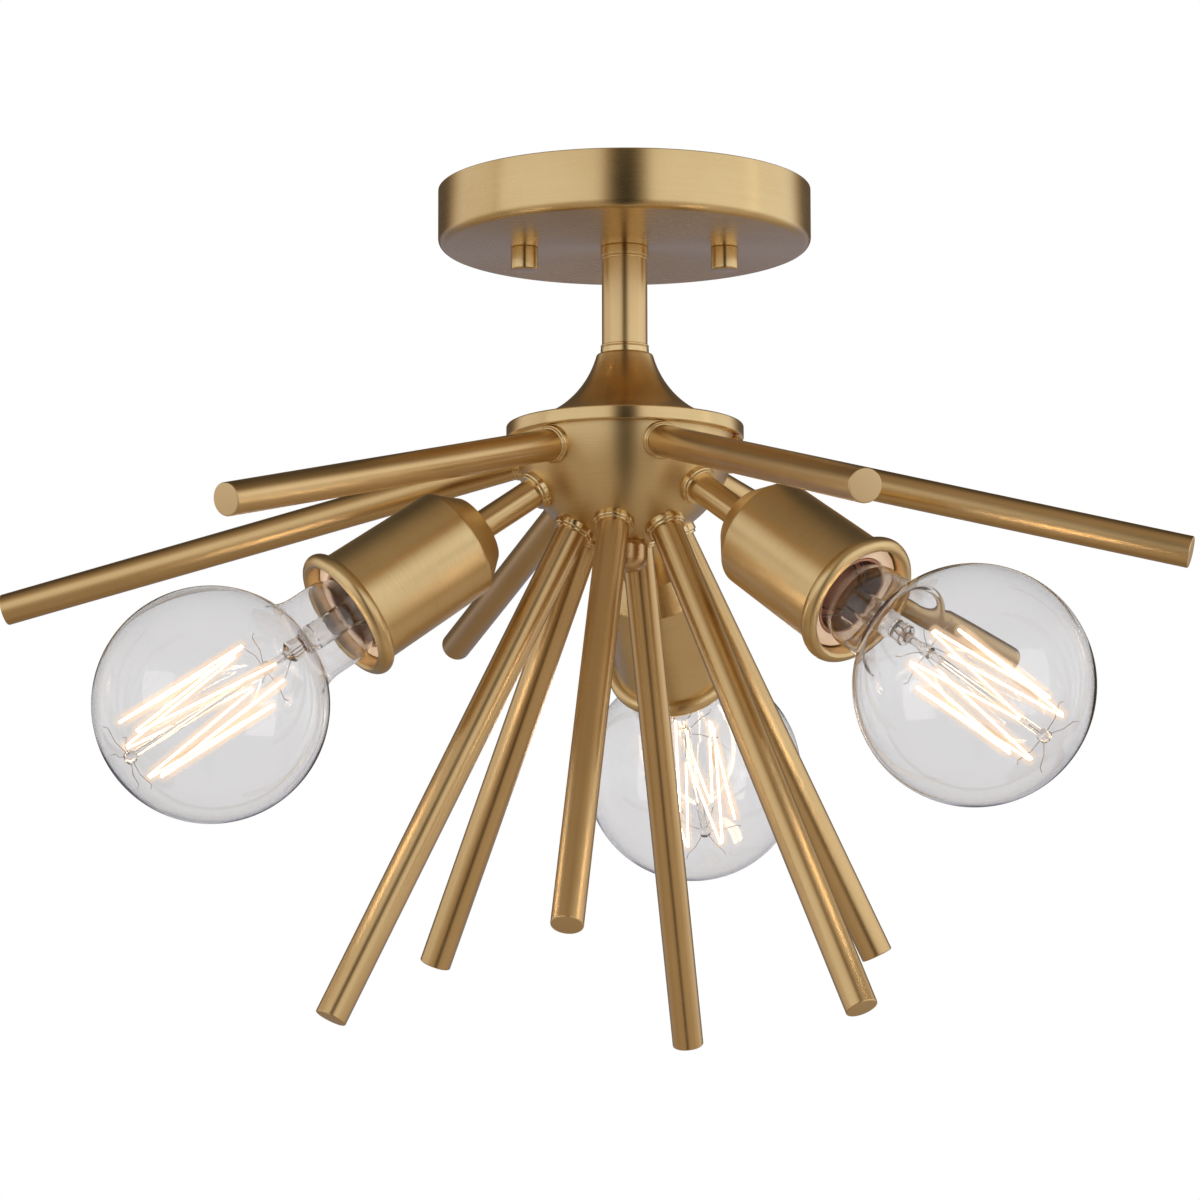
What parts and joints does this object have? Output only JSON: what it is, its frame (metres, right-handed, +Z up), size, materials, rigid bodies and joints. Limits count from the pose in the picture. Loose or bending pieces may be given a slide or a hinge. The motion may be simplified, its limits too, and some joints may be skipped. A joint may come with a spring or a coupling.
{
  "type": "semi flush ceiling light",
  "caption": "Starburst semi flush ceiling light: round canopy, short stem and a domed hub with radiating round rods and angled lamp arms holding bare globe bulbs in brass cups.",
  "frame": {"origin": "centre of the ceiling plane on the stem axis, where the crossbar top face and the canopy rim lie", "axes": "+Z points up into the ceiling, +X runs along the crossbar through both cap nuts, and the pictured side faces -Y"},
  "size_m": [0.4137, 0.4013, 0.294],
  "materials": {
    "satin_brass": "satin, fine brushed",
    "cup_brass": "satin, brushed around the cup",
    "rod_brass": "brass plated, satin",
    "zinc_steel": "zinc plated",
    "green_screw": "green passivated",
    "porcelain": "glazed porcelain, opaque",
    "shell_copper": "dull copper brown",
    "bulb_base": "satin",
    "clear_glass": "clear, polished",
    "stem_glass": "clear, polished",
    "support_wire": "dull wire",
    "glowing_filament": "glowing warm white"
  },
  "bodies": {
    "fixture": {"arm_back": "satin_brass", "arm_ferrules": "satin_brass", "arm_left": "satin_brass", "arm_nuts": "zinc_steel", "arm_right": "satin_brass", "canopy": "satin_brass", "center_contacts": "shell_copper", "crossbar": "zinc_steel", "crossbar_studs": "zinc_steel", "cup_back": "cup_brass", "cup_left": "cup_brass", "cup_right": "cup_brass", "ground_screw": "green_screw", "hub_bowl": "satin_brass", "hub_plate": "satin_brass", "lampholder_back": "porcelain", "lampholder_left": "porcelain", "lampholder_right": "porcelain", "neck": "satin_brass", "pipe_nut_and_washer": "zinc_steel", "rod_ferrules": "satin_brass", "rod_lower_1": "rod_brass", "rod_lower_2": "rod_brass", "rod_lower_3": "rod_brass", "rod_lower_4": "rod_brass", "rod_lower_5": "rod_brass", "rod_lower_6": "rod_brass", "rod_upper_1": "rod_brass", "rod_upper_2": "rod_brass", "rod_upper_3": "rod_brass", "rod_upper_4": "rod_brass", "rod_upper_5": "rod_brass", "rod_upper_6": "rod_brass", "screw_shell_back": "shell_copper", "screw_shell_left": "shell_copper", "screw_shell_right": "shell_copper", "stem_collar_bottom": "satin_brass", "stem_collar_top": "satin_brass", "stem_tube": "satin_brass", "stud_lock_nuts": "zinc_steel", "threaded_pipe": "zinc_steel"},
    "right_bulb": {"bulb_right_base": "bulb_base", "bulb_right_filament": "glowing_filament", "bulb_right_glass": "clear_glass", "bulb_right_stem": "stem_glass", "bulb_right_supports": "support_wire"},
    "left_bulb": {"bulb_left_base": "bulb_base", "bulb_left_filament": "glowing_filament", "bulb_left_glass": "clear_glass", "bulb_left_stem": "stem_glass", "bulb_left_supports": "support_wire"},
    "back_bulb": {"bulb_back_base": "bulb_base", "bulb_back_filament": "glowing_filament", "bulb_back_glass": "clear_glass", "bulb_back_stem": "stem_glass", "bulb_back_supports": "support_wire"},
    "left_cap_nut": {"cap_nut_left": "satin_brass"},
    "right_cap_nut": {"cap_nut_right": "satin_brass"},
    "finial_knob": {"finial": "satin_brass"}
  },
  "joints": [
    {"name": "right_bulb_unscrew", "type": "slide", "parent": "fixture", "child": "right_bulb", "axis": [0.6267, -0.5352, -0.5664], "range_m": [0, 0.042]},
    {"name": "left_bulb_unscrew", "type": "slide", "parent": "fixture", "child": "left_bulb", "axis": [-0.7769, -0.2751, -0.5664], "range_m": [0, 0.042]},
    {"name": "back_bulb_unscrew", "type": "slide", "parent": "fixture", "child": "back_bulb", "axis": [0.1502, 0.8103, -0.5664], "range_m": [0, 0.042]},
    {"name": "left_cap_nut_unscrew", "type": "slide", "parent": "fixture", "child": "left_cap_nut", "axis": [0, 0, -1], "range_m": [0, 0.01]},
    {"name": "right_cap_nut_unscrew", "type": "slide", "parent": "fixture", "child": "right_cap_nut", "axis": [0, 0, -1], "range_m": [0, 0.01]},
    {"name": "finial_unscrew", "type": "slide", "parent": "fixture", "child": "finial_knob", "axis": [0, 0, -1], "range_m": [0, 0.01]}
  ]
}
